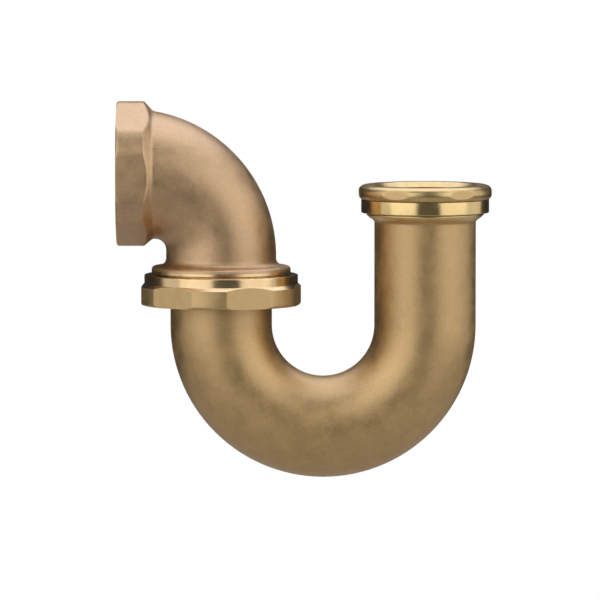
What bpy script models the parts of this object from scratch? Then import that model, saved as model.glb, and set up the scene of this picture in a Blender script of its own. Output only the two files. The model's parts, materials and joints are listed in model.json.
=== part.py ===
"""P trap in rough cast brass for a 1-1/2 in waste: elbow, union, J-bend and slip joint.

Metres, +Z up. The origin is the centre of the outlet face, which looks along -X. The elbow turns
down into the union, and the J-bend comes back up to the slip joint, which looks up.
Every piece is a closed skin: columns of points, one for each angle round the piece, joined up.
"""
from math import ceil, cos, floor, radians, sin, sqrt, tau

import bmesh
import bpy
from mathutils import Vector

MM = 0.001

# Driving layout
TUBE_RADIUS = 21.3 * MM           # outside of the J-bend's tube
BORE_RADIUS = 19.0 * MM
BEND_RADIUS = 42.8 * MM           # to the middle of the tube
BEND_Z = -63.6 * MM               # height of the bend's centre
UNION_X = 43.8 * MM
INLET_X = UNION_X + 2 * BEND_RADIUS
BEND_X = UNION_X + BEND_RADIUS
GAP = 0.3 * MM                    # between neighbouring pieces

# Parallel right-hand threads, 11.5 to the inch
PITCH = 25.4 / 11.5 * MM
THREAD_DEPTH = 1.1 * MM
THREAD_OVERLAP = 0.45 * MM        # how far a nut's thread reaches into the other one
CREST_WIDTH = 0.2                 # share of the pitch
RUN_OUT = 1.0 * MM                # length over which a thread fades at each end

# Outlet collar, along the wall pipe
COLLAR_RADIUS = 30.35 * MM
COLLAR_LENGTH = 11.5 * MM
COLLAR_EDGE = 1.0 * MM            # bevel round the outlet face
COLLAR_CHAMFER = 3.7 * MM         # length of the slope down to the body
COLLAR_FLAT_HALF = radians(20)
COLLAR_FLAT_TURN = radians(30)    # from the top to the middle of one flat
PIPE_THREAD_RADIUS = 23.9 * MM    # at the roots
PIPE_THREAD_LENGTH = 13.2 * MM

# Elbow: an outer arc about one centre and a tight crook about another
CROOK_RADIUS = 4.6 * MM
CROOK_Z = -32.0 * MM
ELBOW_LEG_RADIUS = 23.1 * MM
BACK_ARC_RADIUS = 61.7 * MM
BACK_ARC_Z = -34.6 * MM
OUTLET_WATERWAY = 21.5 * MM
UNION_WATERWAY = 20.2 * MM
FLARE_Z = -35.6 * MM
FLANGE_RADIUS = 29.2 * MM
FLANGE_TOP_Z = -38.9 * MM
FLANGE_BOTTOM_Z = -41.5 * MM

# Union
UNION_THREAD_RADIUS = 28.9 * MM   # male crests
UNION_END_Z = -50.5 * MM
SOCKET_RADIUS = 26.1 * MM
SEAT_Z = -46.0 * MM
UNION_WASHER_THICKNESS = 1.6 * MM
J_FLANGE_RADIUS = 25.75 * MM
J_FLANGE_THICKNESS = 2.8 * MM
UNION_NUT_TOP_Z = -41.8 * MM
UNION_NUT_BOTTOM_Z = -55.1 * MM
UNION_SKIRT_RADIUS = 32.25 * MM
UNION_SKIRT_BOTTOM_Z = -46.8 * MM
UNION_WRENCH_RADIUS = 34.1 * MM
UNION_SHOULDER = 1.1 * MM         # height of the slope above the wrench part
UNION_LIP_RADIUS = 24.65 * MM
UNION_NUT_ROUNDING = 2.5 * MM
UNION_FLAT_HALF = radians(17.5)
UNION_FLAT_TURN = radians(-68)    # from +X to the middle of one flat

# Slip joint
SLIP_THREAD_RADIUS = 24.15 * MM   # male crests
J_INLET_TOP_Z = -9.5 * MM
SLIP_COLLAR_RADIUS = 24.6 * MM
SLIP_COLLAR_TOP_Z = -16.7 * MM
SLIP_COLLAR_BOTTOM_Z = -17.2 * MM
SLIP_TAPER_BOTTOM_Z = -19.6 * MM
SLIP_BORE_RADIUS = 19.3 * MM      # takes a 1-1/2 in tailpiece
SLIP_BORE_BOTTOM_Z = -52.0 * MM
SLIP_SEAT_RADIUS = 22.3 * MM
SLIP_SEAT_DEPTH = 3.5 * MM
SLIP_NUT_TOP_Z = -4.6 * MM
SLIP_NUT_BOTTOM_Z = -16.3 * MM
SLIP_RIM_RADIUS = 28.3 * MM
SLIP_RIM_HEIGHT = 6.5 * MM
SLIP_SKIRT_RADIUS = 26.85 * MM
SLIP_LIP_RADIUS = 19.45 * MM
SLIP_LIP_THICKNESS = 3.0 * MM
SLIP_COUNTERSINK = 0.7 * MM       # how far the mouth of the nut widens towards its top
SLIP_COUNTERSINK_DEPTH = 2.0 * MM
SLIP_WASHER_RADIUS = 23.3 * MM
SLIP_WASHER_NOSE = 2.2 * MM       # how far the washer's cone reaches into the inlet
SLIP_FLAT_HALF = radians(12.2)
SLIP_FLAT_TURN = radians(-57)

FLAT_STEP = radians(60)           # every wrench part has six flats

def remove_everything():
    for old in list(bpy.data.objects):
        bpy.data.objects.remove(old, do_unlink=True)


def new_material(name, colour, roughness, metallic=1.0):
    material = bpy.data.materials.new(name)
    material.use_nodes = True
    shader = material.node_tree.nodes["Principled BSDF"]
    shader.inputs["Base Color"].default_value = (*colour, 1)
    shader.inputs["Roughness"].default_value = roughness
    shader.inputs["Metallic"].default_value = metallic
    return material


def skin(name, angles, column, pivot, material):
    """Join one closed column of points for each angle into a solid about the pivot."""
    mesh = bmesh.new()
    full_circle = angles + [angles[0] + tau]
    rows = [[mesh.verts.new(point - pivot) for point in column(a)] for a in full_circle]
    for left, right in zip(rows, rows[1:]):
        for i in range(len(left)):
            mesh.faces.new((left[i - 1], left[i], right[i], right[i - 1]))
    bmesh.ops.remove_doubles(mesh, verts=mesh.verts, dist=0.002 * MM)
    bmesh.ops.recalc_face_normals(mesh, faces=mesh.faces)
    data = bpy.data.meshes.new(name)
    mesh.to_mesh(data)
    mesh.free()
    data.shade_smooth()
    data.set_sharp_from_angle(angle=radians(30))
    data.materials.append(material)
    piece = bpy.data.objects.new(name, data)
    piece.location = pivot
    bpy.context.collection.objects.link(piece)
    return piece


def even_angles(count):
    return [tau * i / count for i in range(count)]


def angles_with_flats(count, first, half):
    """Even angles, with one at each edge of the six wrench flats."""
    edges = [first + FLAT_STEP * i + side * half for i in range(6) for side in (-1, 1)]
    even = [first + angle for angle in even_angles(count)]
    spare = [a for a in even if all(abs(sin((a - e) / 2)) > radians(1.5) for e in edges)]
    return sorted(a % tau for a in spare + edges)


def flattened(radius, angle, full_radius, first, half):
    """A turned radius cut back where one of the six flats crosses it."""
    off = (angle - first + FLAT_STEP / 2) % FLAT_STEP - FLAT_STEP / 2
    return min(radius, full_radius * cos(half) / cos(off))


def arc(centre, radius, start, end, steps):
    """Points of an arc as (radius from the axis, height) pairs; angles in degrees."""
    turn = [radians(start + (end - start) * i / steps) for i in range(steps + 1)]
    return [(centre[0] + radius * cos(t), centre[1] + radius * sin(t)) for t in turn]


def thread(angle, low, high, root, crest, phase):
    """One column through a right-hand thread, from low to high, as (radius, height) pairs.

    The helix is tied to height 0, so that threads half a turn apart in phase stay in mesh.
    """
    first = (floor(low / PITCH) - 3 + angle / tau + phase - CREST_WIDTH / 2) * PITCH
    turns = ceil((high - low) / PITCH) + 5
    points = []
    for turn in range(turns):
        for share, height in ((0, 1), (CREST_WIDTH, 1), ((1 + CREST_WIDTH) / 2, 0)):
            along = min(max(first + (turn + share) * PITCH, low), high)
            fade = min(1, (along - low) / RUN_OUT, (high - along) / RUN_OUT)
            points.append((root + (crest - root) * height * fade, along))
    return points


def male_thread(angle, low, high, radius):
    return thread(angle, low, high, radius - THREAD_DEPTH, radius, 0)


def female_thread(angle, low, high, male_radius):
    crest = male_radius - THREAD_OVERLAP
    return thread(angle, low, high, crest + THREAD_DEPTH, crest, 0.5)


def upright(axis_x, angle, outline, way=1):
    """Points round an upright axis; way is -1 where the angle runs from -X."""
    return [Vector((axis_x + way * r * cos(angle), r * sin(angle), z)) for r, z in outline]


def along_outlet(angle, outline):
    """Points round the outlet's axis from (radius, distance in from the face) pairs."""
    return [Vector((depth, r * sin(angle), r * cos(angle))) for r, depth in outline]


def elbow_section(turn):
    """Centre, outward direction and radius of the elbow's skin at a turn from 0 to 90 degrees."""
    crook_x = UNION_X - ELBOW_LEG_RADIUS - CROOK_RADIUS
    back_x = UNION_X + ELBOW_LEG_RADIUS - BACK_ARC_RADIUS
    out = Vector((sin(turn), 0, cos(turn)))
    crook = Vector((crook_x, 0, CROOK_Z))
    to_back = crook - Vector((back_x, 0, BACK_ARC_Z))
    along = to_back.dot(out)
    reach = sqrt(along ** 2 + BACK_ARC_RADIUS ** 2 - to_back.length_squared) - along
    return crook + out * (reach + CROOK_RADIUS) / 2, out, (reach - CROOK_RADIUS) / 2


def elbow_ring(turn, angle, radius=None):
    centre, out, skin_radius = elbow_section(turn)
    r = radius or skin_radius
    return centre + out * r * cos(angle) + Vector((0, r * sin(angle), 0))


def collar_outline(angle):
    neck_radius = elbow_section(0)[2]
    outline = [(COLLAR_RADIUS, COLLAR_EDGE), (COLLAR_RADIUS, COLLAR_LENGTH),
               (COLLAR_RADIUS * cos(COLLAR_FLAT_HALF), COLLAR_LENGTH + COLLAR_CHAMFER / 2),
               (neck_radius, COLLAR_LENGTH + COLLAR_CHAMFER)]
    cut = [(flattened(r, angle, COLLAR_RADIUS, COLLAR_FLAT_TURN, COLLAR_FLAT_HALF), x)
           for r, x in outline]
    return [(cut[0][0] - COLLAR_EDGE, 0)] + cut


def elbow_column(angle):
    points = along_outlet(angle, collar_outline(angle))
    turns = [radians(10 * i) for i in range(10)]
    points += [elbow_ring(turn, angle) for turn in turns]
    flange = [
        (ELBOW_LEG_RADIUS, FLARE_Z), (ELBOW_LEG_RADIUS + 0.8 * MM, FLARE_Z - 1.5 * MM),
        (ELBOW_LEG_RADIUS + 2.4 * MM, FLARE_Z - 2.6 * MM), (FLANGE_RADIUS - 1.3 * MM, FLANGE_TOP_Z),
        (FLANGE_RADIUS - 0.2 * MM, FLANGE_TOP_Z - 1.1 * MM), (FLANGE_RADIUS, FLANGE_BOTTOM_Z),
        (UNION_THREAD_RADIUS - THREAD_DEPTH, FLANGE_BOTTOM_Z)]
    points += upright(UNION_X, angle, flange)
    male = male_thread(angle, UNION_END_Z + 0.3 * MM, FLANGE_BOTTOM_Z - 0.3 * MM, UNION_THREAD_RADIUS)
    points += upright(UNION_X, angle, male[::-1])
    socket = [
        (UNION_THREAD_RADIUS - THREAD_DEPTH - 0.3 * MM, UNION_END_Z),
        (SOCKET_RADIUS + 0.3 * MM, UNION_END_Z), (SOCKET_RADIUS, UNION_END_Z + 0.3 * MM),
        (SOCKET_RADIUS, SEAT_Z), (UNION_WATERWAY, SEAT_Z)]
    points += upright(UNION_X, angle, socket)
    for turn in turns[::-1]:
        narrowing = (OUTLET_WATERWAY - UNION_WATERWAY) * turn / turns[-1]
        points.append(elbow_ring(turn, angle, OUTLET_WATERWAY - narrowing))
    female = thread(angle, -PIPE_THREAD_LENGTH, -0.9 * MM, PIPE_THREAD_RADIUS,
                    PIPE_THREAD_RADIUS - THREAD_DEPTH, 0)
    points += along_outlet(angle, [(r, -depth) for r, depth in female])
    points += along_outlet(angle, [(PIPE_THREAD_RADIUS + 0.9 * MM, 0)])
    return points


def bend_ring(turn, angle, radius):
    """A ring of the U: turn 0 is the union's leg and turn 180 degrees the inlet's."""
    out = Vector((-cos(turn), 0, -sin(turn)))
    centre = Vector((BEND_X, 0, BEND_Z)) + out * BEND_RADIUS
    return centre + out * radius * cos(angle) + Vector((0, radius * sin(angle), 0))


def j_bend_column(angle):
    flange_top = SEAT_Z - UNION_WASHER_THICKNESS - 2 * GAP
    flange_bottom = flange_top - J_FLANGE_THICKNESS
    union_end = [
        (BORE_RADIUS, flange_top), (J_FLANGE_RADIUS, flange_top), (J_FLANGE_RADIUS, flange_bottom),
        (TUBE_RADIUS + 1.2 * MM, flange_bottom), (TUBE_RADIUS, flange_bottom - 1.5 * MM)]
    points = upright(UNION_X, angle, union_end, way=-1)
    turns = [radians(10 * i) for i in range(19)]
    points += [bend_ring(turn, angle, TUBE_RADIUS) for turn in turns]
    collar = [
        (TUBE_RADIUS, SLIP_TAPER_BOTTOM_Z), (SLIP_COLLAR_RADIUS, SLIP_COLLAR_BOTTOM_Z),
        (SLIP_COLLAR_RADIUS, SLIP_COLLAR_TOP_Z),
        (SLIP_THREAD_RADIUS - THREAD_DEPTH, SLIP_COLLAR_TOP_Z + 0.4 * MM)]
    points += upright(INLET_X, angle, collar)
    points += upright(INLET_X, angle, male_thread(
        angle, SLIP_COLLAR_TOP_Z + 0.4 * MM, J_INLET_TOP_Z - 0.4 * MM, SLIP_THREAD_RADIUS))
    mouth = [
        (SLIP_THREAD_RADIUS - THREAD_DEPTH - 0.3 * MM, J_INLET_TOP_Z), (SLIP_SEAT_RADIUS, J_INLET_TOP_Z),
        (SLIP_BORE_RADIUS, J_INLET_TOP_Z - SLIP_SEAT_DEPTH),
        (SLIP_BORE_RADIUS, SLIP_BORE_BOTTOM_Z), (BORE_RADIUS, SLIP_BORE_BOTTOM_Z - 1 * MM)]
    points += upright(INLET_X, angle, mouth)
    points += [bend_ring(turn, angle, BORE_RADIUS) for turn in turns[::-1]]
    return points


def union_washer_column(angle):
    top = SEAT_Z - GAP
    bottom = top - UNION_WASHER_THICKNESS
    outline = [
        (SOCKET_RADIUS - 0.4 * MM, top), (SOCKET_RADIUS - 0.4 * MM, bottom),
        (UNION_WATERWAY, bottom), (UNION_WATERWAY, top)]
    return upright(UNION_X, angle, outline)


def union_nut_column(angle):
    top, bottom = UNION_NUT_TOP_Z, UNION_NUT_BOTTOM_Z
    shelf = SEAT_Z - UNION_WASHER_THICKNESS - J_FLANGE_THICKNESS - 3 * GAP
    outside = [
        (UNION_SKIRT_RADIUS - 0.5 * MM, top), (UNION_SKIRT_RADIUS, top - 0.5 * MM),
        (UNION_SKIRT_RADIUS, UNION_SKIRT_BOTTOM_Z),
        (UNION_WRENCH_RADIUS * cos(UNION_FLAT_HALF), UNION_SKIRT_BOTTOM_Z - 0.2 * MM),
        (UNION_WRENCH_RADIUS, UNION_SKIRT_BOTTOM_Z - UNION_SHOULDER)]
    outside += arc((UNION_WRENCH_RADIUS - UNION_NUT_ROUNDING, bottom + UNION_NUT_ROUNDING),
                   UNION_NUT_ROUNDING, 0, -90, 3)
    outside = [(flattened(r, angle, UNION_WRENCH_RADIUS, UNION_FLAT_TURN, UNION_FLAT_HALF), z)
               for r, z in outside]
    lip = [(UNION_LIP_RADIUS, bottom), (UNION_LIP_RADIUS, shelf)]
    recess = UNION_THREAD_RADIUS - THREAD_OVERLAP + THREAD_DEPTH
    inside = female_thread(angle, shelf + 0.6 * MM, top - 0.5 * MM, UNION_THREAD_RADIUS)
    outline = outside + lip + [(recess, shelf)] + inside + [(recess + 0.4 * MM, top)]
    return upright(UNION_X, angle, outline)


def slip_washer_column(angle):
    top = SLIP_NUT_TOP_Z - SLIP_LIP_THICKNESS - GAP
    rim = J_INLET_TOP_Z + GAP
    outline = [
        (SLIP_WASHER_RADIUS, top), (SLIP_WASHER_RADIUS, rim), (SLIP_SEAT_RADIUS - 0.5 * MM, rim),
        (SLIP_BORE_RADIUS + 0.8 * MM, rim - SLIP_WASHER_NOSE), (SLIP_BORE_RADIUS, rim - SLIP_WASHER_NOSE),
        (SLIP_BORE_RADIUS, top)]
    return upright(INLET_X, angle, outline)


def slip_nut_column(angle):
    top, bottom = SLIP_NUT_TOP_Z, SLIP_NUT_BOTTOM_Z
    half_rim = SLIP_RIM_HEIGHT / 2
    outside = arc((SLIP_RIM_RADIUS - half_rim, top - half_rim), half_rim, 90, -60, 6)
    outside += [
        (SLIP_SKIRT_RADIUS, top - SLIP_RIM_HEIGHT), (SLIP_SKIRT_RADIUS, bottom + 0.4 * MM),
        (SLIP_SKIRT_RADIUS - 0.4 * MM, bottom)]
    outside = [(flattened(r, angle, SLIP_RIM_RADIUS, SLIP_FLAT_TURN, SLIP_FLAT_HALF), z)
               for r, z in outside]
    recess = SLIP_THREAD_RADIUS - THREAD_OVERLAP + THREAD_DEPTH
    shelf = top - SLIP_LIP_THICKNESS
    inside = female_thread(angle, bottom + 0.4 * MM, J_INLET_TOP_Z + 0.8 * MM, SLIP_THREAD_RADIUS)
    outline = outside + [(recess + 0.3 * MM, bottom)] + inside
    outline += [
        (recess, shelf), (SLIP_LIP_RADIUS, shelf), (SLIP_LIP_RADIUS, top - SLIP_COUNTERSINK_DEPTH),
        (SLIP_LIP_RADIUS + SLIP_COUNTERSINK, top)]
    return upright(INLET_X, angle, outline)


def main():
    remove_everything()
    cast = new_material("cast_brass", (0.46, 0.31, 0.16), 0.45)
    turned = new_material("turned_brass", (0.62, 0.42, 0.20), 0.25)
    fibre = new_material("red_fibre", (0.25, 0.05, 0.03), 0.8, metallic=0)
    rubber = new_material("black_rubber", (0.02, 0.02, 0.02), 0.6, metallic=0)
    union_axis = Vector((UNION_X, 0, 0))
    inlet_axis = Vector((INLET_X, 0, 0))
    skin("outlet_elbow", even_angles(36), elbow_column, Vector(), cast)
    skin("union_washer", even_angles(32), union_washer_column, union_axis, fibre)
    skin("union_nut", angles_with_flats(36, UNION_FLAT_TURN, UNION_FLAT_HALF),
         union_nut_column, union_axis, turned)
    skin("j_bend", even_angles(32), j_bend_column, union_axis, cast)
    skin("slip_washer", even_angles(32), slip_washer_column, inlet_axis, rubber)
    skin("slip_nut", angles_with_flats(36, SLIP_FLAT_TURN, SLIP_FLAT_HALF),
         slip_nut_column, inlet_axis, turned)


main()
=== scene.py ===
"""Looks of the P trap: fine skins for its six pieces, in cast and machined brass, fibre and rubber.

Metres, +Z up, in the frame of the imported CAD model. Each piece replaces one CAD node and rides on its
body. A piece is made of columns of points, one column for each angle round it, and each point names
the finish of the strip that ends there.
"""

import json
from math import atan2, ceil, cos, floor, hypot, pi, radians, sin, sqrt, tan, tau

import bmesh
import bpy
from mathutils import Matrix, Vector


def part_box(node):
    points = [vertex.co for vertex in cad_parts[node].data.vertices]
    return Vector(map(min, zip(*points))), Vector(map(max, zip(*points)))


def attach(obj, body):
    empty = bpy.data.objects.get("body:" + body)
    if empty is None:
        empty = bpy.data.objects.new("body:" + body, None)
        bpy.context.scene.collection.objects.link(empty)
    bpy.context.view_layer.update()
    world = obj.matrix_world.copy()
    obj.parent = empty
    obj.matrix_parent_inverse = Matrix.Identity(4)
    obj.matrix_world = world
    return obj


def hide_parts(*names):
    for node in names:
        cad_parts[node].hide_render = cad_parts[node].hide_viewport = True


MM = 0.001

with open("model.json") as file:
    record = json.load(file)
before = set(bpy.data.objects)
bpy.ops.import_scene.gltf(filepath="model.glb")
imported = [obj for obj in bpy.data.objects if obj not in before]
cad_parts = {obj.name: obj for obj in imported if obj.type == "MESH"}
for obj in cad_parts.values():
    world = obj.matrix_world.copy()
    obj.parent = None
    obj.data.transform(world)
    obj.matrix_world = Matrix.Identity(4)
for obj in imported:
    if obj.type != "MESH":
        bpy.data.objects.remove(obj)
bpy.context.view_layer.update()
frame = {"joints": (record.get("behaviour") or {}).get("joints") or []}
JOINTS = {joint["name"]: joint for joint in frame["joints"]}
ELBOW_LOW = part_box("outlet_elbow")[0]
J_BEND_LOW, J_BEND_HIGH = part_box("j_bend")
UNION_NUT_LOW, UNION_NUT_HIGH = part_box("union_nut")
UNION_WASHER_LOW, UNION_WASHER_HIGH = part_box("union_washer")
SLIP_NUT_LOW, SLIP_NUT_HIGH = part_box("slip_nut")
SLIP_WASHER_LOW, SLIP_WASHER_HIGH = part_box("slip_washer")

# Layout: places come from the frame
UNION_X = JOINTS["trap_swivel"]["pos_m"][0]
INLET_X = JOINTS["slip_nut_turn"]["pos_m"][0]
BEND_RADIUS = (INLET_X - UNION_X) / 2
BEND_X = UNION_X + BEND_RADIUS
TUBE_RADIUS = 21.3 * MM
BORE_RADIUS = 19.0 * MM
BEND_Z = J_BEND_LOW.z + BEND_RADIUS + TUBE_RADIUS
GAP = 0.3 * MM                    # between neighbouring pieces

# Threads, 11.5 to the inch
PITCH = 25.4 / 11.5 * MM
THREAD_DEPTH = 1.1 * MM
THREAD_OVERLAP = 0.45 * MM        # how far the crests of a nut reach below those of its male thread
# One turn's profile, as (share of the pitch, share of the depth)
THREAD_SHAPE = ((0, 0.93), (0.04, 1), (0.16, 1), (0.2, 0.93), (0.55, 0.06), (0.65, 0.06))
CREST_MIDDLE = 0.1                # share of the pitch
RUN_OUT = 1.0 * MM                # how far a thread takes to fade in and out
SPARE_TURNS = 3                   # turns made beyond each end, and held at it

# Edge roundings
SHARP_EDGE = 0.1 * MM
CRISP_EDGE = 0.15 * MM
TURNED_EDGE = 0.2 * MM
EASED_EDGE = 0.3 * MM
BROKEN_EDGE = 0.4 * MM
FULL_EDGE = 0.5 * MM

# Outlet collar
COLLAR_RADIUS = 30.35 * MM
COLLAR_LENGTH = 11.5 * MM
COLLAR_EDGE = 1.2 * MM
COLLAR_EDGE_FILLET = 0.98 * COLLAR_EDGE
COLLAR_SHOULDER_FILLET = 0.9 * MM
COLLAR_CHAMFER = 3.7 * MM
NECK_FILLET = 2.2 * MM            # between the chamfer and the elbow
COLLAR_FLAT_HALF = radians(20)    # half the angle that a flat covers
COLLAR_FLAT_TURN = radians(30)
PIPE_THREAD_RADIUS = 23.9 * MM
PIPE_THREAD_LENGTH = 13.2 * MM
PIPE_MOUTH_BEVEL = 0.9 * MM

# Elbow
CROOK_RADIUS = 4.6 * MM
CROOK_Z = -32.0 * MM
ELBOW_LEG_RADIUS = 23.1 * MM
BACK_ARC_RADIUS = 61.7 * MM       # the elbow's back is one arc, and its inside, the crook, another
BACK_ARC_Z = -34.6 * MM
OUTLET_WATERWAY = 21.5 * MM
UNION_WATERWAY = 20.2 * MM
TUBE_LEAD = 1.0 * MM              # plain tube in an outline before its first fillet
FLARE_FILLET = 3.0 * MM
FLANGE_RADIUS = 29.2 * MM
FLANGE_TOP_Z = -38.6 * MM
FLANGE_RISE = 0.5 * MM            # how much higher the flange's top is at the leg
FLANGE_FALL = 0.3 * MM            # and how much lower at its rim
FLANGE_DRAFT = 0.1 * MM
FLANGE_EDGE_FILLET = 1.5 * MM
FLANGE_CAST_RIM = 1.9 * MM        # height of the rim's upper part, which is as cast
UNION_NUT_TRIM = 0.5 * MM         # how much lower the nut's top is than the CAD's
UNION_NUT_TOP_Z = UNION_NUT_HIGH.z - UNION_NUT_TRIM
FLANGE_BOTTOM_Z = UNION_NUT_TOP_Z + GAP

# Union
UNION_THREAD_RADIUS = 28.9 * MM
UNION_END_Z = ELBOW_LOW.z
SOCKET_RADIUS = 26.1 * MM
SEAT_Z = UNION_WASHER_HIGH.z + GAP
J_FLANGE_RADIUS = 25.75 * MM
J_FLANGE_THICKNESS = 2.8 * MM
J_FLANGE_FILLET = 1.2 * MM
J_FLANGE_NECK = 2.5 * MM          # length of turned tube under the J-bend's flange
J_BEND_TOP_AT_UNION = UNION_WASHER_LOW.z - GAP
UNION_SHELF_Z = J_BEND_TOP_AT_UNION - J_FLANGE_THICKNESS - GAP
UNION_SKIRT_RADIUS = 32.25 * MM   # the skirt is the plain turned part above the wrench part
UNION_SKIRT_BOTTOM_Z = -46.0 * MM
UNION_SHOULDER = 1.4 * MM         # height of the slope above the wrench part
UNION_WRENCH_RADIUS = UNION_NUT_HIGH.y
UNION_WRENCH_FILLET = 1.2 * MM
UNION_UNDERSIDE = 4.0 * MM        # width of the wrench part's own finish underneath
UNION_LIP_RADIUS = 24.65 * MM
SHELF_TO_THREAD = 0.6 * MM        # the shelf carries the J-bend's flange
UNION_FLAT_HALF = radians(17.5)
UNION_FLAT_TURN = radians(-68)    # from +X to the middle of one flat

# Slip joint
SLIP_THREAD_RADIUS = 24.15 * MM
SLIP_COLLAR_RADIUS = 24.6 * MM
SLIP_COLLAR_TOP_Z = -16.7 * MM
SLIP_COLLAR_BOTTOM_Z = -17.2 * MM
SLIP_TAPER_BOTTOM_Z = -20.0 * MM
SLIP_TAPER_ROUNDING = 0.9 * MM
SLIP_TAPER_HOLLOW = 1.2 * MM      # fillet at the taper's foot
SLIP_TAPER_FILLET = 1.5 * MM
SLIP_BORE_RADIUS = 19.3 * MM
SLIP_BORE_BOTTOM_Z = -52.0 * MM
SLIP_SEAT_RADIUS = 22.3 * MM
SLIP_SEAT_DEPTH = 3.5 * MM
SLIP_BORE_STEP = 1.0 * MM         # height of the cone below the slip joint's bore
SLIP_RIM_RADIUS = 28.27 * MM      # the rim is the nut's domed bead
SLIP_RIM_HEIGHT = 6.5 * MM
SLIP_SKIRT_RADIUS = 26.85 * MM
SLIP_LIP_RADIUS = 19.45 * MM
SLIP_LIP_THICKNESS = 3.0 * MM
THREAD_PAST_RIM = 0.8 * MM        # how far the nut's thread goes on above the J-bend's rim
SLIP_COUNTERSINK = 2.2 * MM       # width and depth of the cone at the nut's mouth
SLIP_MOUTH_FILLET = 1.4 * MM
BEAD_START = 90                   # degrees above level: the bead's arc runs from its top
BEAD_END = -66                    # down to where it meets the skirt
BEAD_OVERLAP = 0.25 * MM          # how far the skirt starts above the rim's lower edge
WASHER_SEAT_CLEARANCE = 0.5 * MM
WASHER_NOSE = 0.8 * MM            # width of the slip washer's blunt nose
SLIP_FLAT_HALF = radians(12.2)
SLIP_FLAT_TURN = radians(-57)

FLATS = 6
FLAT_STEP = tau / FLATS
CASTING_CORNER = 0.5 * MM         # softness of the edges between flats and rounds
MILLED_CORNER = 0.1 * MM

# Fineness
CASTING_COLUMNS = 240
NUT_COLUMNS = 420
WASHER_COLUMNS = 160
ARC_STEP = radians(12)
BEND_STEP = radians(3)
LONGEST_STEP = 1.0 * MM
SKIRT_STEP = 0.3 * MM
WRENCH_STEP = 0.4 * MM
BEAD_STEP = 0.25 * MM
NEAR_EDGE = 0.3                   # least gap between columns, in half steps
WELD_DISTANCE = 0.002 * MM
SHARP_ANGLE = radians(33)

# Cast brass: sizes of its grain and patches, depths of its relief
CAST_GRAIN = 0.75 * MM
CAST_GRAIN_DEPTH = 0.05 * MM
CAST_LUMPS = 3.5 * MM
CAST_LUMP_DEPTH = 0.09 * MM
CAST_MOTTLE = 6 * MM
CAST_CLOUDS = 28 * MM
CAST_DETAIL = {"detail": 4, "roughness": 0.6}
MOTTLE_WEIGHT, GRAIN_WEIGHT, CLOUDS_WEIGHT = 0.45, 0.4, 0.15
CAST_STOPS = (0.34, 0.5, 0.66, 0.9)
CAST_ROUGHNESS = (0.43, 0.53)
CAST_WEAR = (0.52, 0.58)          # pointiness at which wear starts and is full
WEAR_LIGHTENS = 0.3
WEAR_SMOOTHS = 0.1
SKIN_COAT = {"Coat Weight": 0.4, "Coat Roughness": 0.36, "Coat IOR": 1.8}
SEAM_CORE = 0.2 * MM              # half widths of the parting line's top and of its foot
SEAM_FOOT = 0.9 * MM
SEAM_HEIGHT = 0.04 * MM

# Machined brass
TOOL_DETAIL = {"detail": 3, "roughness": 0.6}
LINES_WEIGHT, LATHE_STAIN_WEIGHT = 0.4, 0.6
LATHE_STAIN = 5 * MM
EVEN_WEIGHT = 0.5
TONE_STOPS = (0.4, 0.6)
ROUND_THE_AXIS = 0.25             # quarter turn of the tangent
MILL_MARKS = 0.6 * MM
MILL_STRETCH = (0.35, 0.35, 3.0)
MILL_STAIN = 4 * MM
MILL_DEPTH = 0.012 * MM
MILL_ROUGHNESS = (0.42, 0.52)

# Washers
WASHER_PATCHES = 6 * MM
WASHER_STOPS = (0.38, 0.62)
WASHER_DEPTH = 0.03 * MM

# Colours
ELBOW_BRASS = ((0.54, 0.35, 0.185), (0.63, 0.415, 0.225), (0.73, 0.485, 0.275), (0.84, 0.60, 0.38))
J_BEND_BRASS = ((0.55, 0.36, 0.155), (0.64, 0.425, 0.187), (0.73, 0.49, 0.222), (0.84, 0.60, 0.33))
BRIGHT_BRASS = ((0.80, 0.57, 0.31), (0.90, 0.67, 0.38))
GOLDEN_BRASS = ((0.80, 0.59, 0.27), (0.90, 0.68, 0.33))
BEAD_BRASS = ((0.66, 0.485, 0.225), (0.77, 0.57, 0.275))
PLAIN_BRASS = ((0.66, 0.46, 0.23), (0.76, 0.55, 0.29))
MILLED_BRASS = ((0.66, 0.46, 0.22), (0.74, 0.53, 0.27))
RED_FIBRE = ((0.16, 0.035, 0.02), (0.26, 0.06, 0.035))
BLACK_RUBBER = ((0.012, 0.012, 0.012), (0.03, 0.03, 0.03))
PAPER = ((0.45, 0.43, 0.40), (0.49, 0.47, 0.44))
PAPER_ROUGHNESS = 0.9

# Machined finishes: colours, roughness, size and depth of the tool's lines, stretch of highlights
POLISHED = (BRIGHT_BRASS, (0.21, 0.27), 0.2 * MM, 0.0015 * MM, 0.4)
TURNED = (PLAIN_BRASS, (0.22, 0.32), 0.25 * MM, 0.004 * MM, 0.4)
ELBOW_BAND = (BRIGHT_BRASS, (0.24, 0.32), 0.25 * MM, 0.003 * MM, 0.0)
J_BEND_COLLAR = (GOLDEN_BRASS, (0.28, 0.36), 0.25 * MM, 0.004 * MM, 0.0)
SLIP_SKIRT = (GOLDEN_BRASS, (0.2, 0.26), 0.2 * MM, 0.0015 * MM, 0.4)
SLIP_BEAD = (BEAD_BRASS, (0.3, 0.36), 0.3 * MM, 0.002 * MM, 0.0)

# Washer finishes: colours, roughness, size of the grain
FIBRE = (RED_FIBRE, (0.67, 0.8), 0.3 * MM)
RUBBER = (BLACK_RUBBER, (0.52, 0.65), 0.2 * MM)

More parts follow.
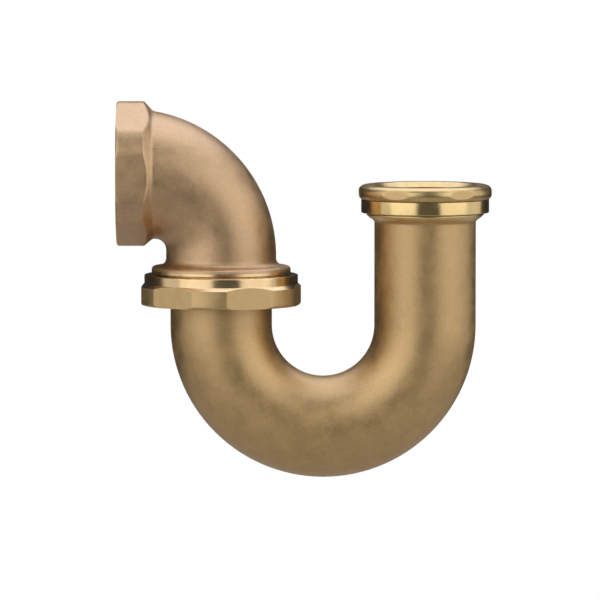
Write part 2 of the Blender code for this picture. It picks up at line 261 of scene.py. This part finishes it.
# Stage
CAMERA_TARGET = Vector((76.9, 0, -53.2)) * MM
CAMERA_DISTANCE = 3.2
CAMERA_ELEVATION = radians(4.2)
CAMERA_FIELD = 252 * MM           # width of the view at the target
SENSOR_WIDTH = 36.0
CAMERA_REACH = 20
FLOOR_Z = -300 * MM
FLOOR_RADIUS = 0.85
FLOOR_FADE = 0.6                  # share of the radius at which the floor starts to fade
FLOOR_FLECK = 2 * MM
FLOOR_SIDES = 96
WORLD_FILL = 0.03
# Softboxes: name, azimuth, elevation, distance, width, height, radiance, tint
SOFTBOXES = (
    ("left_softbox", -40, 18, 1.2, 1.25, 1.4, 1.25, (1, 1, 1)),
    ("left_wrap", -82, 18, 1.2, 0.65, 1.4, 0.7, (1, 1, 1)),
    ("right_softbox", 54, 18, 1.2, 1.25, 1.4, 1.15, (1, 1, 1)),
    ("right_wrap", 99, 18, 1.2, 0.85, 1.4, 0.7, (1, 1, 1)),
    ("front_fill", 6, 10, 2.2, 1.0, 1.6, 0.06, (1, 1, 1)),
    ("top_softbox", 180, 76, 1.15, 1.8, 1.6, 1.45, (0.96, 1.0, 1.15)),
)


# ---- Outlines: (radius, height, finish) points ----

def rounded(corners, finish):
    """An outline through (radius, height, fillet) corners, with the fillets as arcs."""
    outline = [(corners[0][0], corners[0][1], finish)]
    for before, corner, after in zip(corners, corners[1:], corners[2:]):
        outline += fillet(before, corner, after, finish)
    return outline + [(corners[-1][0], corners[-1][1], finish)]


def fillet(before, corner, after, finish):
    """The points of one corner; a corner without a radius stays as it is."""
    x, y, radius = corner
    if not radius:
        return [(x, y, finish)]
    to_before = Vector((before[0] - x, before[1] - y)).normalized()
    to_after = Vector((after[0] - x, after[1] - y)).normalized()
    half = to_before.angle(to_after) / 2
    centre = Vector((x, y)) + (to_before + to_after).normalized() * radius / sin(half)
    start = Vector((x, y)) + to_before * radius / tan(half) - centre
    end = Vector((x, y)) + to_after * radius / tan(half) - centre
    first = atan2(start.y, start.x)
    sweep = (atan2(end.y, end.x) - first + pi) % tau - pi
    steps = max(2, ceil(abs(sweep) / ARC_STEP))
    turns = [first + sweep * i / steps for i in range(steps + 1)]
    return [(centre.x + radius * cos(t), centre.y + radius * sin(t), finish) for t in turns]


def arc(centre, radius, start, end, finish):
    """Points of an arc, two to each step; angles in degrees."""
    steps = ceil(abs(radians(end - start)) / ARC_STEP * 2)
    turns = [radians(start + (end - start) * i / steps) for i in range(steps + 1)]
    return [(centre[0] + radius * cos(t), centre[1] + radius * sin(t), finish) for t in turns]


def divided(outline, longest=LONGEST_STEP):
    """The same outline with its long stretches divided."""
    points = [outline[0]]
    for (r0, z0, _), (r1, z1, finish) in zip(outline, outline[1:]):
        parts = max(1, ceil(hypot(r1 - r0, z1 - z0) / longest))
        points += [(r0 + (r1 - r0) * i / parts, z0 + (z1 - z0) * i / parts, finish)
                   for i in range(1, parts + 1)]
    return points


def with_flats(outline, angle, full_radius, first, half, corner, finish):
    """Cut an outline back to the wrench flat at this angle, with a soft corner round the cut.

    What is cut takes the finish. The first flat's middle is at the angle first.
    """
    off = (angle - first + FLAT_STEP / 2) % FLAT_STEP - FLAT_STEP / 2
    flat = full_radius * cos(half) / cos(off)
    points = []
    for r, z, old_finish in outline:
        soft = max(corner - abs(r - flat), 0) ** 2 / corner / 4
        points.append((min(r, flat) - soft, z, finish if r > flat else old_finish))
    return points


def thread(angle, low, high, root, crest, phase):
    """One column through a right-hand thread, from low to high; phase is a share of a turn.

    The helix is tied to height 0, so that threads half a turn apart in phase stay in mesh.
    """
    first = (floor(low / PITCH) - SPARE_TURNS + angle / tau + phase - CREST_MIDDLE) * PITCH
    points = []
    for turn in range(ceil((high - low) / PITCH) + SPARE_TURNS + 2):
        for share, height in THREAD_SHAPE:
            along = min(max(first + (turn + share) * PITCH, low), high)
            fade = min(1, (along - low) / RUN_OUT, (high - along) / RUN_OUT)
            points.append((root + (crest - root) * height * fade, along, "turned"))
    return points


def male_thread(angle, low, high, radius):
    return thread(angle, low, high, radius - THREAD_DEPTH, radius, 0)


def female_thread(angle, low, high, male_radius):
    crest = male_radius - THREAD_OVERLAP
    return thread(angle, low, high, crest + THREAD_DEPTH, crest, 0.5)


# ---- Placing outlines ----

def upright(axis_x, angle, outline, way=1):
    """Points round an upright axis; way is -1 where the angle runs from -X."""
    return [(axis_x + way * r * cos(angle), r * sin(angle), z, finish) for r, z, finish in outline]


def along_outlet(angle, outline):
    return [(depth, r * sin(angle), r * cos(angle), finish) for r, depth, finish in outline]


def elbow_section(turn):
    """Centre, outward direction and radius of the elbow's skin at a turn from 0 to 90 degrees."""
    crook = Vector((UNION_X - ELBOW_LEG_RADIUS - CROOK_RADIUS, 0, CROOK_Z))
    back = Vector((UNION_X + ELBOW_LEG_RADIUS - BACK_ARC_RADIUS, 0, BACK_ARC_Z))
    out = Vector((sin(turn), 0, cos(turn)))
    to_back = crook - back
    along = to_back.dot(out)
    reach = sqrt(along ** 2 + BACK_ARC_RADIUS ** 2 - to_back.length_squared) - along
    return crook + out * (reach + CROOK_RADIUS) / 2, out, (reach - CROOK_RADIUS) / 2


def even_turns(full):
    """Turns from 0 to the full one, a bend's step apart."""
    steps = round(full / BEND_STEP)
    return [full * i / steps for i in range(steps + 1)]


def elbow_ring(turn, angle, radius=None):
    """A point of the elbow's skin, or of its waterway where a radius is given."""
    centre, out, skin_radius = elbow_section(turn)
    r = skin_radius if radius is None else radius
    point = centre + out * r * cos(angle)
    return (point.x, r * sin(angle), point.z, "cast")


def bend_ring(turn, angle, radius):
    """A point of the U: turn 0 is the union's leg and half a turn the inlet's."""
    reach = BEND_RADIUS + radius * cos(angle)
    return (BEND_X - reach * cos(turn), radius * sin(angle), BEND_Z - reach * sin(turn), "cast")


# ---- The six pieces ----

def collar_outline(angle):
    """The collar's face and side, as (radius, depth, finish), up to where the elbow starts."""
    elbow_start, _, neck = elbow_section(0)
    face = [(PIPE_THREAD_RADIUS + PIPE_MOUTH_BEVEL, 0, 0), (COLLAR_RADIUS - COLLAR_EDGE, 0, 0)]
    side = [
        (COLLAR_RADIUS - COLLAR_EDGE, 0, 0), (COLLAR_RADIUS, 0, COLLAR_EDGE_FILLET),
        (COLLAR_RADIUS, COLLAR_LENGTH, COLLAR_SHOULDER_FILLET),
        (neck, COLLAR_LENGTH + COLLAR_CHAMFER, NECK_FILLET), (neck, elbow_start.x, 0)]
    outline = divided(rounded(face, "turned")) + divided(rounded(side, "cast"))[1:]
    return with_flats(outline, angle, COLLAR_RADIUS, COLLAR_FLAT_TURN, COLLAR_FLAT_HALF,
                      CASTING_CORNER, "cast")


def elbow_column(angle):
    """The collar's points sink on the way in, from the outlet's axis to the elbow's own."""
    elbow_start = elbow_section(0)[0]
    points = []
    for x, y, z, finish in along_outlet(angle, collar_outline(angle)[:-1]):
        sink = max(0, (x - COLLAR_LENGTH) / (elbow_start.x - COLLAR_LENGTH))
        points.append((x, y, z + elbow_start.z * sink, finish))
    turns = even_turns(radians(90))
    points += [elbow_ring(turn, angle) for turn in turns]
    rim_split = FLANGE_TOP_Z - FLANGE_CAST_RIM
    flare = [
        (ELBOW_LEG_RADIUS, CROOK_Z - TUBE_LEAD, 0),
        (ELBOW_LEG_RADIUS, FLANGE_TOP_Z + FLANGE_RISE, FLARE_FILLET),
        (FLANGE_RADIUS - FLANGE_DRAFT, FLANGE_TOP_Z - FLANGE_FALL, FLANGE_EDGE_FILLET),
        (FLANGE_RADIUS, rim_split, 0)]
    band = [(FLANGE_RADIUS, rim_split, 0), (FLANGE_RADIUS, FLANGE_BOTTOM_Z, FULL_EDGE),
            (UNION_THREAD_RADIUS - THREAD_DEPTH, FLANGE_BOTTOM_Z, 0)]
    points += upright(UNION_X, angle, rounded(flare, "cast") + rounded(band, "turned")[1:])
    male = male_thread(angle, UNION_END_Z + EASED_EDGE, FLANGE_BOTTOM_Z - EASED_EDGE, UNION_THREAD_RADIUS)
    socket = [
        (UNION_THREAD_RADIUS - THREAD_DEPTH - EASED_EDGE, UNION_END_Z, 0),
        (SOCKET_RADIUS, UNION_END_Z, EASED_EDGE), (SOCKET_RADIUS, SEAT_Z, 0), (UNION_WATERWAY, SEAT_Z, 0)]
    points += upright(UNION_X, angle, male[::-1] + rounded(socket, "turned"))
    for turn in turns[::-1]:
        narrowing = (OUTLET_WATERWAY - UNION_WATERWAY) * turn / turns[-1]
        points.append(elbow_ring(turn, angle, OUTLET_WATERWAY - narrowing))
    female = thread(angle, -PIPE_THREAD_LENGTH, -PIPE_MOUTH_BEVEL, PIPE_THREAD_RADIUS,
                    PIPE_THREAD_RADIUS - THREAD_DEPTH, 0)
    return points + along_outlet(angle, [(r, -depth, finish) for r, depth, finish in female])


def j_bend_column(angle):
    flange_top = J_BEND_TOP_AT_UNION
    flange_bottom = flange_top - J_FLANGE_THICKNESS
    union_end = [
        (BORE_RADIUS, flange_top, 0), (J_FLANGE_RADIUS, flange_top, TURNED_EDGE),
        (J_FLANGE_RADIUS, flange_bottom, TURNED_EDGE), (TUBE_RADIUS, flange_bottom, J_FLANGE_FILLET),
        (TUBE_RADIUS, flange_bottom - J_FLANGE_NECK, 0)]
    points = upright(UNION_X, angle, rounded(union_end, "turned"), way=-1)
    turns = even_turns(pi)
    points += [bend_ring(turn, angle, TUBE_RADIUS) for turn in turns]
    taper_foot = (TUBE_RADIUS + SLIP_TAPER_ROUNDING, SLIP_TAPER_BOTTOM_Z + SLIP_TAPER_ROUNDING, 0)
    hollow = [
        (TUBE_RADIUS, SLIP_TAPER_BOTTOM_Z - TUBE_LEAD, 0),
        (TUBE_RADIUS, SLIP_TAPER_BOTTOM_Z, SLIP_TAPER_HOLLOW), taper_foot]
    thread_start = SLIP_COLLAR_TOP_Z + BROKEN_EDGE
    collar = [
        taper_foot,
        (SLIP_COLLAR_RADIUS - SLIP_TAPER_ROUNDING, SLIP_COLLAR_BOTTOM_Z - SLIP_TAPER_ROUNDING,
         SLIP_TAPER_FILLET),
        (SLIP_COLLAR_RADIUS, SLIP_COLLAR_BOTTOM_Z, BROKEN_EDGE),
        (SLIP_COLLAR_RADIUS, SLIP_COLLAR_TOP_Z, SHARP_EDGE),
        (SLIP_THREAD_RADIUS - THREAD_DEPTH, thread_start, 0)]
    points += upright(INLET_X, angle, rounded(hollow, "cast") + rounded(collar, "turned")[1:])
    male = male_thread(angle, thread_start, J_BEND_HIGH.z - BROKEN_EDGE, SLIP_THREAD_RADIUS)
    mouth = [
        (SLIP_THREAD_RADIUS - THREAD_DEPTH - EASED_EDGE, J_BEND_HIGH.z, 0),
        (SLIP_SEAT_RADIUS, J_BEND_HIGH.z, 0), (SLIP_BORE_RADIUS, J_BEND_HIGH.z - SLIP_SEAT_DEPTH, 0),
        (SLIP_BORE_RADIUS, SLIP_BORE_BOTTOM_Z, 0), (BORE_RADIUS, SLIP_BORE_BOTTOM_Z - SLIP_BORE_STEP, 0)]
    points += upright(INLET_X, angle, male + rounded(mouth, "turned"))
    return points + [bend_ring(turn, angle, BORE_RADIUS) for turn in turns[::-1]]


def union_washer_column(angle):
    top, bottom = UNION_WASHER_HIGH.z, UNION_WASHER_LOW.z
    outer = (UNION_WASHER_HIGH.y - UNION_WASHER_LOW.y) / 2
    inner = UNION_WATERWAY
    middle = (inner + outer) / 2
    outline = [(middle, top, 0), (outer, top, CRISP_EDGE), (outer, bottom, CRISP_EDGE),
               (inner, bottom, CRISP_EDGE), (inner, top, CRISP_EDGE), (middle, top, 0)]
    return upright(UNION_X, angle, rounded(outline, "fibre")[:-1])


def union_nut_column(angle):
    top, bottom = UNION_NUT_TOP_Z, UNION_NUT_LOW.z
    shelf = UNION_SHELF_Z
    recess = UNION_THREAD_RADIUS - THREAD_OVERLAP + THREAD_DEPTH
    shoulder = (UNION_WRENCH_RADIUS, UNION_SKIRT_BOTTOM_Z - UNION_SHOULDER, 0)
    underside = (UNION_WRENCH_RADIUS - UNION_UNDERSIDE, bottom, 0)
    skirt = [
        (recess + BROKEN_EDGE, top, 0), (UNION_SKIRT_RADIUS, top, FULL_EDGE),
        (UNION_SKIRT_RADIUS, UNION_SKIRT_BOTTOM_Z, TURNED_EDGE), shoulder]
    wrench = [shoulder, (UNION_WRENCH_RADIUS, bottom, UNION_WRENCH_FILLET), underside]
    under = [underside, (UNION_LIP_RADIUS, bottom, BROKEN_EDGE), (UNION_LIP_RADIUS, shelf, 0),
             (recess, shelf, 0)]
    outside = divided(rounded(skirt, "polished"), SKIRT_STEP)
    outside += divided(rounded(wrench, "milled"), WRENCH_STEP)[1:]
    outside = with_flats(outside, angle, UNION_WRENCH_RADIUS, UNION_FLAT_TURN, UNION_FLAT_HALF,
                         MILLED_CORNER, "milled")
    inside = female_thread(angle, shelf + SHELF_TO_THREAD, top - FULL_EDGE, UNION_THREAD_RADIUS)
    return upright(UNION_X, angle, outside + rounded(under, "turned")[1:] + inside)


def slip_washer_column(angle):
    top, nose = SLIP_WASHER_HIGH.z, SLIP_WASHER_LOW.z
    rim = J_BEND_HIGH.z + GAP
    outer = (SLIP_WASHER_HIGH.y - SLIP_WASHER_LOW.y) / 2
    middle = (SLIP_BORE_RADIUS + outer) / 2
    outline = [
        (middle, top, 0), (outer, top, EASED_EDGE), (outer, rim, EASED_EDGE),
        (SLIP_SEAT_RADIUS - WASHER_SEAT_CLEARANCE, rim, 0),
        (SLIP_BORE_RADIUS + WASHER_NOSE, nose, TURNED_EDGE), (SLIP_BORE_RADIUS, nose, TURNED_EDGE),
        (SLIP_BORE_RADIUS, top, TURNED_EDGE), (middle, top, 0)]
    return upright(INLET_X, angle, rounded(outline, "rubber")[:-1])


def slip_nut_column(angle):
    top, bottom = SLIP_NUT_HIGH.z, SLIP_NUT_LOW.z
    half_rim = SLIP_RIM_HEIGHT / 2
    bead_centre = (SLIP_RIM_RADIUS - half_rim, top - half_rim)
    recess = SLIP_THREAD_RADIUS - THREAD_OVERLAP + THREAD_DEPTH
    shelf = top - SLIP_LIP_THICKNESS
    cone_foot = (SLIP_LIP_RADIUS, top - SLIP_COUNTERSINK, 0)
    lip = [(recess, shelf, 0), (SLIP_LIP_RADIUS, shelf, SHARP_EDGE), cone_foot]
    mouth = [cone_foot, (SLIP_LIP_RADIUS + SLIP_COUNTERSINK, top, SLIP_MOUTH_FILLET),
             (bead_centre[0], top, 0)]
    bead = divided(arc(bead_centre, half_rim, BEAD_START, BEAD_END, "bead"), BEAD_STEP)
    bead = with_flats(bead, angle, SLIP_RIM_RADIUS, SLIP_FLAT_TURN, SLIP_FLAT_HALF,
                      MILLED_CORNER, "milled")
    skirt = [
        (SLIP_SKIRT_RADIUS, top - SLIP_RIM_HEIGHT + BEAD_OVERLAP, 0),
        (SLIP_SKIRT_RADIUS, bottom, BROKEN_EDGE), (recess + EASED_EDGE, bottom, 0)]
    thread_end = J_BEND_HIGH.z + THREAD_PAST_RIM
    inside = female_thread(angle, bottom + BROKEN_EDGE, thread_end, SLIP_THREAD_RADIUS)
    ring = rounded(lip, "turned") + rounded(mouth, "bead")[1:]
    return upright(INLET_X, angle, ring + bead[1:] + rounded(skirt, "polished") + inside)


# ---- Skins ----

def even_angles(count):
    return [tau * i / count for i in range(count)]


def angles_with_flats(count, first, half):
    """Even angles, with one at each edge of the wrench flats instead of those too near to it."""
    edges = [first + FLAT_STEP * i + side * half for i in range(FLATS) for side in (-1, 1)]
    even = [first + angle for angle in even_angles(count)]
    near = NEAR_EDGE * pi / count
    spare = [a for a in even if all(abs(sin((a - edge) / 2)) > near for edge in edges)]
    return sorted(a % tau for a in spare + edges)


def skin(name, angles, column, pivot, materials):
    """Join one closed column of points for each angle into a solid with its origin at the pivot."""
    mesh = bmesh.new()
    columns = [column(angle) for angle in angles + [angles[0] + tau]]
    used = sorted({point[3] for points in columns for point in points})
    rows = [[mesh.verts.new(Vector(point[:3]) - pivot) for point in points] for points in columns]
    for left, right, points in zip(rows, rows[1:], columns):
        for i, point in enumerate(points):
            face = mesh.faces.new((left[i - 1], left[i], right[i], right[i - 1]))
            face.material_index = used.index(point[3])
    bmesh.ops.remove_doubles(mesh, verts=mesh.verts, dist=WELD_DISTANCE)
    bmesh.ops.recalc_face_normals(mesh, faces=mesh.faces)
    data = bpy.data.meshes.new(name)
    mesh.to_mesh(data)
    mesh.free()
    data.shade_smooth()
    data.set_sharp_from_angle(angle=SHARP_ANGLE)
    for finish in used:
        data.materials.append(materials[finish])
    piece = bpy.data.objects.new(name, data)
    piece.location = pivot
    bpy.context.collection.objects.link(piece)
    return piece


# ---- Materials ----

def new_material(name):
    material = bpy.data.materials.new(name)
    material.use_nodes = True
    tree = material.node_tree
    return material, tree, tree.nodes["Principled BSDF"]


def plug(tree, socket, value):
    """Link a socket to an output, or set it to a value."""
    if isinstance(value, bpy.types.NodeSocket):
        tree.links.new(value, socket)
    else:
        socket.default_value = value


def node(tree, kind, inputs=(), **settings):
    made = tree.nodes.new("ShaderNode" + kind)
    for key, value in settings.items():
        setattr(made, key, value)
    for key, value in dict(inputs).items():
        plug(tree, made.inputs[key], value)
    return made


def object_place(tree):
    return node(tree, "TexCoord").outputs["Object"]


def noise(tree, place, size, detail=2.0, roughness=0.5):
    """Noise whose lumps are about size across."""
    inputs = {"Vector": place, "Scale": 1 / size, "Detail": detail, "Roughness": roughness}
    return node(tree, "TexNoise", inputs).outputs["Fac"]


def calc(tree, operation, a, b=0.0):
    return node(tree, "Math", {0: a, 1: b}, operation=operation).outputs[0]


def weighed(tree, *terms):
    """Sum of (value, weight) terms."""
    parts = [calc(tree, "MULTIPLY", value, weight) for value, weight in terms]
    total = parts[0]
    for part in parts[1:]:
        total = calc(tree, "ADD", total, part)
    return total


def mapped(tree, value, low, high, start=0.35, end=0.65):
    """A value from start to end, mapped to low to high and held at both ends."""
    inputs = {"Value": value, "From Min": start, "From Max": end, "To Min": low, "To Max": high}
    return node(tree, "MapRange", inputs).outputs["Result"]


def ramp(tree, value, stops, colours):
    """The colours at their stops, and between them what lies between."""
    made = node(tree, "ValToRGB", {"Fac": value})
    elements = made.color_ramp.elements
    while len(elements) < len(stops):
        elements.new(0.5)
    for element, position, colour in zip(elements, stops, colours):
        element.position = position
        element.color = (*colour, 1)
    return made.outputs["Color"]


def bump(tree, height, depth, below=None):
    """A bump of this depth, on top of the one below."""
    inputs = {"Height": height, "Distance": depth, "Strength": 1.0}
    if below:
        inputs["Normal"] = below
    return node(tree, "Bump", inputs).outputs["Normal"]


def axis_place(tree, centre):
    """(distance from an upright axis, height) as a vector, for marks that run round the axis."""
    offset = node(tree, "VectorMath", {0: object_place(tree), 1: centre}, operation="SUBTRACT")
    parts = node(tree, "SeparateXYZ", {"Vector": offset.outputs[0]}).outputs
    squares = [calc(tree, "MULTIPLY", parts[i], parts[i]) for i in ("X", "Y")]
    radius = calc(tree, "SQRT", calc(tree, "ADD", *squares))
    return node(tree, "CombineXYZ", {"X": radius, "Y": parts["Z"]}).outputs[0]


def edge_wear(tree, start, end):
    """0 on faces and hollows, rising to 1 along edges that stand out."""
    return mapped(tree, node(tree, "NewGeometry").outputs["Pointiness"], 0.0, 1.0, start, end)


def cast_brass(name, colours):
    """Blasted casting skin: fine grain, faint mottling, and a dressed parting line along Y = 0."""
    material, tree, shader = new_material(name)
    place = object_place(tree)
    grain = noise(tree, place, CAST_GRAIN, **CAST_DETAIL)
    mottle = noise(tree, place, CAST_MOTTLE, **CAST_DETAIL)
    clouds = noise(tree, place, CAST_CLOUDS, detail=2)
    wear = edge_wear(tree, *CAST_WEAR)
    tone = weighed(tree, (mottle, MOTTLE_WEIGHT), (grain, GRAIN_WEIGHT), (clouds, CLOUDS_WEIGHT),
                   (wear, WEAR_LIGHTENS))
    plug(tree, shader.inputs["Base Color"], ramp(tree, tone, CAST_STOPS, colours))
    shader.inputs["Metallic"].default_value = 1.0
    rough = mapped(tree, mottle, *CAST_ROUGHNESS)
    smoothing = calc(tree, "MULTIPLY", wear, WEAR_SMOOTHS)
    plug(tree, shader.inputs["Roughness"], calc(tree, "SUBTRACT", rough, smoothing))
    for socket, value in SKIN_COAT.items():
        shader.inputs[socket].default_value = value
    side = calc(tree, "ABSOLUTE", node(tree, "SeparateXYZ", {"Vector": place}).outputs["Y"])
    relief = bump(tree, mapped(tree, side, 1.0, 0.0, SEAM_CORE, SEAM_FOOT), SEAM_HEIGHT)
    relief = bump(tree, noise(tree, place, CAST_LUMPS, detail=2), CAST_LUMP_DEPTH, relief)
    relief = bump(tree, grain, CAST_GRAIN_DEPTH, relief)
    plug(tree, shader.inputs["Normal"], relief)
    return material


def machined_brass(name, finish, centre=(0, 0, 0)):
    """Brass off the lathe: fine lines run round an upright axis, and some finishes stretch highlights."""
    colours, roughness, line_size, line_depth, stretch = finish
    material, tree, shader = new_material(name)
    lines = noise(tree, axis_place(tree, centre), line_size, **TOOL_DETAIL)
    stain = noise(tree, object_place(tree), LATHE_STAIN, detail=3)
    tone = weighed(tree, (lines, LINES_WEIGHT), (stain, LATHE_STAIN_WEIGHT))
    plug(tree, shader.inputs["Base Color"], ramp(tree, tone, TONE_STOPS, colours))
    shader.inputs["Metallic"].default_value = 1.0
    plug(tree, shader.inputs["Roughness"], mapped(tree, tone, *roughness))
    plug(tree, shader.inputs["Normal"], bump(tree, lines, line_depth))
    if stretch:
        shader.inputs["Anisotropic"].default_value = stretch
        shader.inputs["Anisotropic Rotation"].default_value = ROUND_THE_AXIS
        tangent = node(tree, "Tangent", direction_type="RADIAL", axis="Z")
        plug(tree, shader.inputs["Tangent"], tangent.outputs[0])
    return material


def milled_brass():
    """Satin wrench flats: short straight cutter marks over faint stains."""
    material, tree, shader = new_material("milled_brass")
    place = object_place(tree)
    stretched = node(tree, "Mapping", {"Vector": place, "Scale": MILL_STRETCH}).outputs[0]
    marks = noise(tree, stretched, MILL_MARKS, **TOOL_DETAIL)
    stain = noise(tree, place, MILL_STAIN, detail=3)
    tone = weighed(tree, (marks, EVEN_WEIGHT), (stain, EVEN_WEIGHT))
    plug(tree, shader.inputs["Base Color"], ramp(tree, tone, TONE_STOPS, MILLED_BRASS))
    shader.inputs["Metallic"].default_value = 1.0
    plug(tree, shader.inputs["Roughness"], mapped(tree, tone, *MILL_ROUGHNESS))
    plug(tree, shader.inputs["Normal"], bump(tree, marks, MILL_DEPTH))
    return material


def washer_material(name, finish):
    """Matt, with a fine grain."""
    colours, roughness, grain_size = finish
    material, tree, shader = new_material(name)
    place = object_place(tree)
    grain = noise(tree, place, grain_size, detail=4)
    patches = noise(tree, place, WASHER_PATCHES, detail=2)
    tone = weighed(tree, (grain, EVEN_WEIGHT), (patches, EVEN_WEIGHT))
    plug(tree, shader.inputs["Base Color"], ramp(tree, tone, WASHER_STOPS, colours))
    plug(tree, shader.inputs["Roughness"], mapped(tree, patches, *roughness))
    plug(tree, shader.inputs["Normal"], bump(tree, grain, WASHER_DEPTH))
    return material


def floor_material():
    """Pale paper that fades out towards its rim."""
    material, tree, shader = new_material("pale_floor")
    place = object_place(tree)
    fleck = noise(tree, place, FLOOR_FLECK, detail=3)
    plug(tree, shader.inputs["Base Color"], ramp(tree, fleck, TONE_STOPS, PAPER))
    shader.inputs["Roughness"].default_value = PAPER_ROUGHNESS
    distance = node(tree, "VectorMath", {0: place}, operation="LENGTH").outputs["Value"]
    fade_start = FLOOR_RADIUS * FLOOR_FADE
    plug(tree, shader.inputs["Alpha"], mapped(tree, distance, 1.0, 0.0, fade_start, FLOOR_RADIUS))
    return material


# ---- Stage ----

def build_floor():
    mesh = bmesh.new()
    bmesh.ops.create_circle(mesh, cap_ends=True, segments=FLOOR_SIDES, radius=FLOOR_RADIUS)
    data = bpy.data.meshes.new("floor")
    mesh.to_mesh(data)
    mesh.free()
    data.materials.append(floor_material())
    floor_object = bpy.data.objects.new("floor", data)
    floor_object.location = (CAMERA_TARGET.x, 0, FLOOR_Z)
    bpy.context.collection.objects.link(floor_object)


def build_world():
    """White where the camera sees it, and nearly dark in what it lights and in reflections."""
    world = bpy.data.worlds.new("studio")
    bpy.context.scene.world = world
    world.use_nodes = True
    tree = world.node_tree
    tree.nodes.clear()
    seen = node(tree, "LightPath").outputs["Is Camera Ray"]
    strength = calc(tree, "ADD", calc(tree, "MULTIPLY", seen, 1 - WORLD_FILL), WORLD_FILL)
    sky = node(tree, "Background", {"Color": (1, 1, 1, 1), "Strength": strength})
    output = node(tree, "OutputWorld")
    tree.links.new(sky.outputs[0], output.inputs["Surface"])


def build_softbox(name, azimuth, elevation, distance, width, height, radiance, tint):
    """A soft light that faces the target; azimuth 0 is the camera's side, and angles are degrees."""
    light = bpy.data.lights.new(name, "AREA")
    light.shape = "RECTANGLE"
    light.size = width
    light.size_y = height
    light.energy = radiance * pi * width * height
    light.color = tint
    lamp = bpy.data.objects.new(name, light)
    a, e = radians(azimuth), radians(elevation)
    back = Vector((sin(a) * cos(e), -cos(a) * cos(e), sin(e)))
    lamp.location = CAMERA_TARGET + back * distance
    lamp.rotation_euler = back.to_track_quat("Z", "Y").to_euler()
    bpy.context.collection.objects.link(lamp)


def build_camera():
    data = bpy.data.cameras.new("camera")
    data.sensor_width = SENSOR_WIDTH
    data.lens = SENSOR_WIDTH * CAMERA_DISTANCE / CAMERA_FIELD
    data.dof.use_dof = False
    data.clip_end = CAMERA_REACH
    camera = bpy.data.objects.new("camera", data)
    back = Vector((0, -cos(CAMERA_ELEVATION), sin(CAMERA_ELEVATION)))
    camera.location = CAMERA_TARGET + back * CAMERA_DISTANCE
    camera.rotation_euler = back.to_track_quat("Z", "Y").to_euler()
    bpy.context.collection.objects.link(camera)
    bpy.context.scene.camera = camera


# ---- The whole scene ----

def piece_materials():
    """Materials by finish: those that pieces share, and the elbow's, J-bend's and slip nut's own."""
    shared = {
        "milled": milled_brass(),
        "fibre": washer_material("red_fibre", FIBRE),
        "rubber": washer_material("black_rubber", RUBBER),
        "polished": machined_brass("polished_brass", POLISHED),
        "turned": machined_brass("turned_brass", TURNED),
    }
    elbow = dict(
        shared,
        cast=cast_brass("elbow_cast_brass", ELBOW_BRASS),
        turned=machined_brass("elbow_machined", ELBOW_BAND, (UNION_X, 0, 0)))
    j_bend = dict(
        shared,
        cast=cast_brass("j_bend_cast_brass", J_BEND_BRASS),
        turned=machined_brass("j_bend_machined", J_BEND_COLLAR, (INLET_X - UNION_X, 0, 0)))
    slip = dict(
        shared,
        polished=machined_brass("slip_skirt_brass", SLIP_SKIRT),
        bead=machined_brass("slip_bead_brass", SLIP_BEAD))
    return shared, elbow, j_bend, slip


def build_pieces():
    shared, elbow, j_bend, slip = piece_materials()
    union_axis = Vector((UNION_X, 0, 0))
    inlet_axis = Vector((INLET_X, 0, 0))
    union_angles = angles_with_flats(NUT_COLUMNS, UNION_FLAT_TURN, UNION_FLAT_HALF)
    slip_angles = angles_with_flats(NUT_COLUMNS, SLIP_FLAT_TURN, SLIP_FLAT_HALF)
    casting_angles = even_angles(CASTING_COLUMNS)
    washer_angles = even_angles(WASHER_COLUMNS)
    pieces = (
        ("elbow_casting", casting_angles, elbow_column, Vector(), elbow, "outlet_elbow", "cast_brass"),
        ("union_washer_ring", washer_angles, union_washer_column, union_axis, shared,
         "union_washer", "fibre"),
        ("union_nut_ring", union_angles, union_nut_column, union_axis, shared, "union_nut", "turned_brass"),
        ("j_bend_casting", casting_angles, j_bend_column, union_axis, j_bend, "j_bend", "cast_brass"),
        ("slip_washer_ring", washer_angles, slip_washer_column, inlet_axis, shared,
         "slip_washer", "rubber"),
        ("slip_nut_ring", slip_angles, slip_nut_column, inlet_axis, slip, "slip_nut", "turned_brass"),
    )
    for name, angles, column, pivot, materials, cad_node, slot in pieces:
        piece = skin(name, angles, column, pivot, materials)
        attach(piece, cad_node)
        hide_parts(cad_node)


build_pieces()
build_floor()
build_world()
for settings in SOFTBOXES:
    build_softbox(*settings)
build_camera()
bpy.context.scene.view_settings.view_transform = "Standard"
